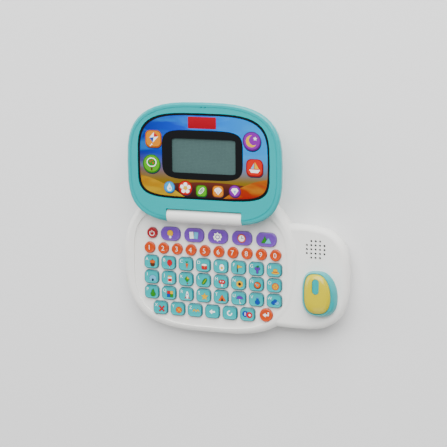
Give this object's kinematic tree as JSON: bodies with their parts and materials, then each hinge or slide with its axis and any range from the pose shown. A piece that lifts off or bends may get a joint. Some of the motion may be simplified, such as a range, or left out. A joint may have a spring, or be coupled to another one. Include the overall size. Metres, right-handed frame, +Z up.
{
  "type": "toy laptop computer",
  "caption": "Toy laptop with letter, number and mode keys, a fixed mouse, a carry handle and a picture lid with a small screen on a hinge barrel.",
  "frame": {"origin": "on the table, at the middle moulded foot, halfway across the base", "axes": "+X to the mouse side, +Y to the hinge and handle, +Z up from the table"},
  "size_m": [0.266, 0.2623, 0.0598],
  "materials": {
    "white_shell": "injection moulded, fine satin texture",
    "teal_plastic": "injection moulded, semi-gloss",
    "key_teal_plastic": "injection moulded, semi-gloss, pad printed",
    "orange_plastic": "injection moulded, semi-gloss, pad printed",
    "red_plastic": "injection moulded, semi-gloss, pad printed",
    "purple_plastic": "injection moulded, semi-gloss, pad printed",
    "yellow_plastic": "injection moulded, semi-gloss",
    "picture_panel": "back-printed clear sheet",
    "screen_glass": "liquid crystal glass with a polariser film",
    "silicone": "moulded silicone",
    "board_green": "solder resist on paper laminate",
    "speaker_black": "paper cone in a pressed frame",
    "nickel_plate": "nickel plated spring steel",
    "cell_sleeve": "plain shrink sleeve on a steel can",
    "zinc_screw": "zinc plated"
  },
  "bodies": {
    "base": {"top_housing": "white_shell", "bottom_housing": "white_shell", "battery_cover": "white_shell", "batteries": "cell_sleeve", "battery_contacts": "nickel_plate", "key_mat": "silicone", "circuit_board": "board_green", "speaker": "speaker_black", "screws": "zinc_screw", "mouse_body": "teal_plastic"},
    "lid": {"lid_front": "teal_plastic", "lid_back": "teal_plastic", "lid_panel": "picture_panel", "lcd_screen": "screen_glass"},
    "mouse_cover": {"mouse_cover": "yellow_plastic"},
    "power_key": {"power_key": "red_plastic"},
    "enter_key": {"enter_key": "orange_plastic"},
    "letter_key_n_tilde": {"letter_key_n_tilde": "key_teal_plastic"},
    "function_keys": {"function_keys": "key_teal_plastic"},
    "mode_key_1": {"mode_key_1": "purple_plastic"},
    "mode_key_2": {"mode_key_2": "purple_plastic"},
    "mode_key_3": {"mode_key_3": "purple_plastic"},
    "mode_key_4": {"mode_key_4": "purple_plastic"},
    "mode_key_5": {"mode_key_5": "purple_plastic"},
    "number_key_1": {"number_key_1": "orange_plastic"},
    "number_key_2": {"number_key_2": "orange_plastic"},
    "number_key_3": {"number_key_3": "orange_plastic"},
    "number_key_4": {"number_key_4": "orange_plastic"},
    "number_key_5": {"number_key_5": "orange_plastic"},
    "number_key_6": {"number_key_6": "orange_plastic"},
    "number_key_7": {"number_key_7": "orange_plastic"},
    "number_key_8": {"number_key_8": "orange_plastic"},
    "number_key_9": {"number_key_9": "orange_plastic"},
    "number_key_0": {"number_key_0": "orange_plastic"},
    "letter_key_a": {"letter_key_a": "key_teal_plastic"},
    "letter_key_b": {"letter_key_b": "key_teal_plastic"},
    "letter_key_c": {"letter_key_c": "key_teal_plastic"},
    "letter_key_d": {"letter_key_d": "key_teal_plastic"},
    "letter_key_e": {"letter_key_e": "key_teal_plastic"},
    "letter_key_f": {"letter_key_f": "key_teal_plastic"},
    "letter_key_g": {"letter_key_g": "key_teal_plastic"},
    "letter_key_h": {"letter_key_h": "key_teal_plastic"},
    "letter_key_i": {"letter_key_i": "key_teal_plastic"},
    "letter_key_j": {"letter_key_j": "key_teal_plastic"},
    "letter_key_k": {"letter_key_k": "key_teal_plastic"},
    "letter_key_l": {"letter_key_l": "key_teal_plastic"},
    "letter_key_m": {"letter_key_m": "key_teal_plastic"},
    "letter_key_n": {"letter_key_n": "key_teal_plastic"},
    "letter_key_o": {"letter_key_o": "key_teal_plastic"},
    "letter_key_p": {"letter_key_p": "key_teal_plastic"},
    "letter_key_q": {"letter_key_q": "key_teal_plastic"},
    "letter_key_r": {"letter_key_r": "key_teal_plastic"},
    "letter_key_s": {"letter_key_s": "key_teal_plastic"},
    "letter_key_t": {"letter_key_t": "key_teal_plastic"},
    "letter_key_u": {"letter_key_u": "key_teal_plastic"},
    "letter_key_v": {"letter_key_v": "key_teal_plastic"},
    "letter_key_w": {"letter_key_w": "key_teal_plastic"},
    "letter_key_x": {"letter_key_x": "key_teal_plastic"},
    "letter_key_y": {"letter_key_y": "key_teal_plastic"},
    "letter_key_z": {"letter_key_z": "key_teal_plastic"}
  },
  "joints": [
    {"name": "lid_hinge", "type": "hinge", "parent": "base", "child": "lid", "pos_m": [-0.0277, 0.048, 0.04306], "axis": [1, 0, 0], "range_deg": [0, 180]},
    {"name": "mouse_cover_press", "type": "slide", "parent": "base", "child": "mouse_cover", "axis": [0, -0.0436, 0.999], "range_m": [-0.0015, 0], "stiffness_N_per_m": 300, "springref_m": 0.001},
    {"name": "power_key_press", "type": "slide", "parent": "base", "child": "power_key", "axis": [0, -0.0698, 0.9976], "range_m": [-0.0015, 0], "stiffness_N_per_m": 300, "springref_m": 0.001, "deforming": ["key_mat"]},
    {"name": "enter_key_press", "type": "slide", "parent": "base", "child": "enter_key", "axis": [0, -0.0698, 0.9976], "range_m": [-0.0015, 0], "stiffness_N_per_m": 300, "springref_m": 0.001},
    {"name": "letter_key_n_tilde_press", "type": "slide", "parent": "base", "child": "letter_key_n_tilde", "axis": [0, -0.0698, 0.9976], "range_m": [-0.0015, 0], "stiffness_N_per_m": 300, "springref_m": 0.001},
    {"name": "function_keys_press", "type": "slide", "parent": "base", "child": "function_keys", "axis": [0, -0.0698, 0.9976], "range_m": [-0.0015, 0], "stiffness_N_per_m": 300, "springref_m": 0.001},
    {"name": "mode_key_1_press", "type": "slide", "parent": "base", "child": "mode_key_1", "axis": [0, -0.0698, 0.9976], "range_m": [-0.0015, 0], "stiffness_N_per_m": 300, "springref_m": 0.001},
    {"name": "mode_key_2_press", "type": "slide", "parent": "base", "child": "mode_key_2", "axis": [0, -0.0698, 0.9976], "range_m": [-0.0015, 0], "stiffness_N_per_m": 300, "springref_m": 0.001},
    {"name": "mode_key_3_press", "type": "slide", "parent": "base", "child": "mode_key_3", "axis": [0, -0.0698, 0.9976], "range_m": [-0.0015, 0], "stiffness_N_per_m": 300, "springref_m": 0.001},
    {"name": "mode_key_4_press", "type": "slide", "parent": "base", "child": "mode_key_4", "axis": [0, -0.0698, 0.9976], "range_m": [-0.0015, 0], "stiffness_N_per_m": 300, "springref_m": 0.001},
    {"name": "mode_key_5_press", "type": "slide", "parent": "base", "child": "mode_key_5", "axis": [0, -0.0698, 0.9976], "range_m": [-0.0015, 0], "stiffness_N_per_m": 300, "springref_m": 0.001},
    {"name": "number_key_1_press", "type": "slide", "parent": "base", "child": "number_key_1", "axis": [0, -0.0698, 0.9976], "range_m": [-0.0015, 0], "stiffness_N_per_m": 300, "springref_m": 0.001},
    {"name": "number_key_2_press", "type": "slide", "parent": "base", "child": "number_key_2", "axis": [0, -0.0698, 0.9976], "range_m": [-0.0015, 0], "stiffness_N_per_m": 300, "springref_m": 0.001},
    {"name": "number_key_3_press", "type": "slide", "parent": "base", "child": "number_key_3", "axis": [0, -0.0698, 0.9976], "range_m": [-0.0015, 0], "stiffness_N_per_m": 300, "springref_m": 0.001},
    {"name": "number_key_4_press", "type": "slide", "parent": "base", "child": "number_key_4", "axis": [0, -0.0698, 0.9976], "range_m": [-0.0015, 0], "stiffness_N_per_m": 300, "springref_m": 0.001},
    {"name": "number_key_5_press", "type": "slide", "parent": "base", "child": "number_key_5", "axis": [0, -0.0698, 0.9976], "range_m": [-0.0015, 0], "stiffness_N_per_m": 300, "springref_m": 0.001},
    {"name": "number_key_6_press", "type": "slide", "parent": "base", "child": "number_key_6", "axis": [0, -0.0698, 0.9976], "range_m": [-0.0015, 0], "stiffness_N_per_m": 300, "springref_m": 0.001},
    {"name": "number_key_7_press", "type": "slide", "parent": "base", "child": "number_key_7", "axis": [0, -0.0698, 0.9976], "range_m": [-0.0015, 0], "stiffness_N_per_m": 300, "springref_m": 0.001},
    {"name": "number_key_8_press", "type": "slide", "parent": "base", "child": "number_key_8", "axis": [0, -0.0698, 0.9976], "range_m": [-0.0015, 0], "stiffness_N_per_m": 300, "springref_m": 0.001},
    {"name": "number_key_9_press", "type": "slide", "parent": "base", "child": "number_key_9", "axis": [0, -0.0698, 0.9976], "range_m": [-0.0015, 0], "stiffness_N_per_m": 300, "springref_m": 0.001},
    {"name": "number_key_0_press", "type": "slide", "parent": "base", "child": "number_key_0", "axis": [0, -0.0698, 0.9976], "range_m": [-0.0015, 0], "stiffness_N_per_m": 300, "springref_m": 0.001},
    {"name": "letter_key_a_press", "type": "slide", "parent": "base", "child": "letter_key_a", "axis": [0, -0.0698, 0.9976], "range_m": [-0.0015, 0], "stiffness_N_per_m": 300, "springref_m": 0.001},
    {"name": "letter_key_b_press", "type": "slide", "parent": "base", "child": "letter_key_b", "axis": [0, -0.0698, 0.9976], "range_m": [-0.0015, 0], "stiffness_N_per_m": 300, "springref_m": 0.001},
    {"name": "letter_key_c_press", "type": "slide", "parent": "base", "child": "letter_key_c", "axis": [0, -0.0698, 0.9976], "range_m": [-0.0015, 0], "stiffness_N_per_m": 300, "springref_m": 0.001},
    {"name": "letter_key_d_press", "type": "slide", "parent": "base", "child": "letter_key_d", "axis": [0, -0.0698, 0.9976], "range_m": [-0.0015, 0], "stiffness_N_per_m": 300, "springref_m": 0.001},
    {"name": "letter_key_e_press", "type": "slide", "parent": "base", "child": "letter_key_e", "axis": [0, -0.0698, 0.9976], "range_m": [-0.0015, 0], "stiffness_N_per_m": 300, "springref_m": 0.001},
    {"name": "letter_key_f_press", "type": "slide", "parent": "base", "child": "letter_key_f", "axis": [0, -0.0698, 0.9976], "range_m": [-0.0015, 0], "stiffness_N_per_m": 300, "springref_m": 0.001},
    {"name": "letter_key_g_press", "type": "slide", "parent": "base", "child": "letter_key_g", "axis": [0, -0.0698, 0.9976], "range_m": [-0.0015, 0], "stiffness_N_per_m": 300, "springref_m": 0.001},
    {"name": "letter_key_h_press", "type": "slide", "parent": "base", "child": "letter_key_h", "axis": [0, -0.0698, 0.9976], "range_m": [-0.0015, 0], "stiffness_N_per_m": 300, "springref_m": 0.001},
    {"name": "letter_key_i_press", "type": "slide", "parent": "base", "child": "letter_key_i", "axis": [0, -0.0698, 0.9976], "range_m": [-0.0015, 0], "stiffness_N_per_m": 300, "springref_m": 0.001},
    {"name": "letter_key_j_press", "type": "slide", "parent": "base", "child": "letter_key_j", "axis": [0, -0.0698, 0.9976], "range_m": [-0.0015, 0], "stiffness_N_per_m": 300, "springref_m": 0.001},
    {"name": "letter_key_k_press", "type": "slide", "parent": "base", "child": "letter_key_k", "axis": [0, -0.0698, 0.9976], "range_m": [-0.0015, 0], "stiffness_N_per_m": 300, "springref_m": 0.001},
    {"name": "letter_key_l_press", "type": "slide", "parent": "base", "child": "letter_key_l", "axis": [0, -0.0698, 0.9976], "range_m": [-0.0015, 0], "stiffness_N_per_m": 300, "springref_m": 0.001},
    {"name": "letter_key_m_press", "type": "slide", "parent": "base", "child": "letter_key_m", "axis": [0, -0.0698, 0.9976], "range_m": [-0.0015, 0], "stiffness_N_per_m": 300, "springref_m": 0.001},
    {"name": "letter_key_n_press", "type": "slide", "parent": "base", "child": "letter_key_n", "axis": [0, -0.0698, 0.9976], "range_m": [-0.0015, 0], "stiffness_N_per_m": 300, "springref_m": 0.001},
    {"name": "letter_key_o_press", "type": "slide", "parent": "base", "child": "letter_key_o", "axis": [0, -0.0698, 0.9976], "range_m": [-0.0015, 0], "stiffness_N_per_m": 300, "springref_m": 0.001},
    {"name": "letter_key_p_press", "type": "slide", "parent": "base", "child": "letter_key_p", "axis": [0, -0.0698, 0.9976], "range_m": [-0.0015, 0], "stiffness_N_per_m": 300, "springref_m": 0.001},
    {"name": "letter_key_q_press", "type": "slide", "parent": "base", "child": "letter_key_q", "axis": [0, -0.0698, 0.9976], "range_m": [-0.0015, 0], "stiffness_N_per_m": 300, "springref_m": 0.001},
    {"name": "letter_key_r_press", "type": "slide", "parent": "base", "child": "letter_key_r", "axis": [0, -0.0698, 0.9976], "range_m": [-0.0015, 0], "stiffness_N_per_m": 300, "springref_m": 0.001},
    {"name": "letter_key_s_press", "type": "slide", "parent": "base", "child": "letter_key_s", "axis": [0, -0.0698, 0.9976], "range_m": [-0.0015, 0], "stiffness_N_per_m": 300, "springref_m": 0.001},
    {"name": "letter_key_t_press", "type": "slide", "parent": "base", "child": "letter_key_t", "axis": [0, -0.0698, 0.9976], "range_m": [-0.0015, 0], "stiffness_N_per_m": 300, "springref_m": 0.001},
    {"name": "letter_key_u_press", "type": "slide", "parent": "base", "child": "letter_key_u", "axis": [0, -0.0698, 0.9976], "range_m": [-0.0015, 0], "stiffness_N_per_m": 300, "springref_m": 0.001},
    {"name": "letter_key_v_press", "type": "slide", "parent": "base", "child": "letter_key_v", "axis": [0, -0.0698, 0.9976], "range_m": [-0.0015, 0], "stiffness_N_per_m": 300, "springref_m": 0.001},
    {"name": "letter_key_w_press", "type": "slide", "parent": "base", "child": "letter_key_w", "axis": [0, -0.0698, 0.9976], "range_m": [-0.0015, 0], "stiffness_N_per_m": 300, "springref_m": 0.001},
    {"name": "letter_key_x_press", "type": "slide", "parent": "base", "child": "letter_key_x", "axis": [0, -0.0698, 0.9976], "range_m": [-0.0015, 0], "stiffness_N_per_m": 300, "springref_m": 0.001},
    {"name": "letter_key_y_press", "type": "slide", "parent": "base", "child": "letter_key_y", "axis": [0, -0.0698, 0.9976], "range_m": [-0.0015, 0], "stiffness_N_per_m": 300, "springref_m": 0.001},
    {"name": "letter_key_z_press", "type": "slide", "parent": "base", "child": "letter_key_z", "axis": [0, -0.0698, 0.9976], "range_m": [-0.0015, 0], "stiffness_N_per_m": 300, "springref_m": 0.001}
  ]
}
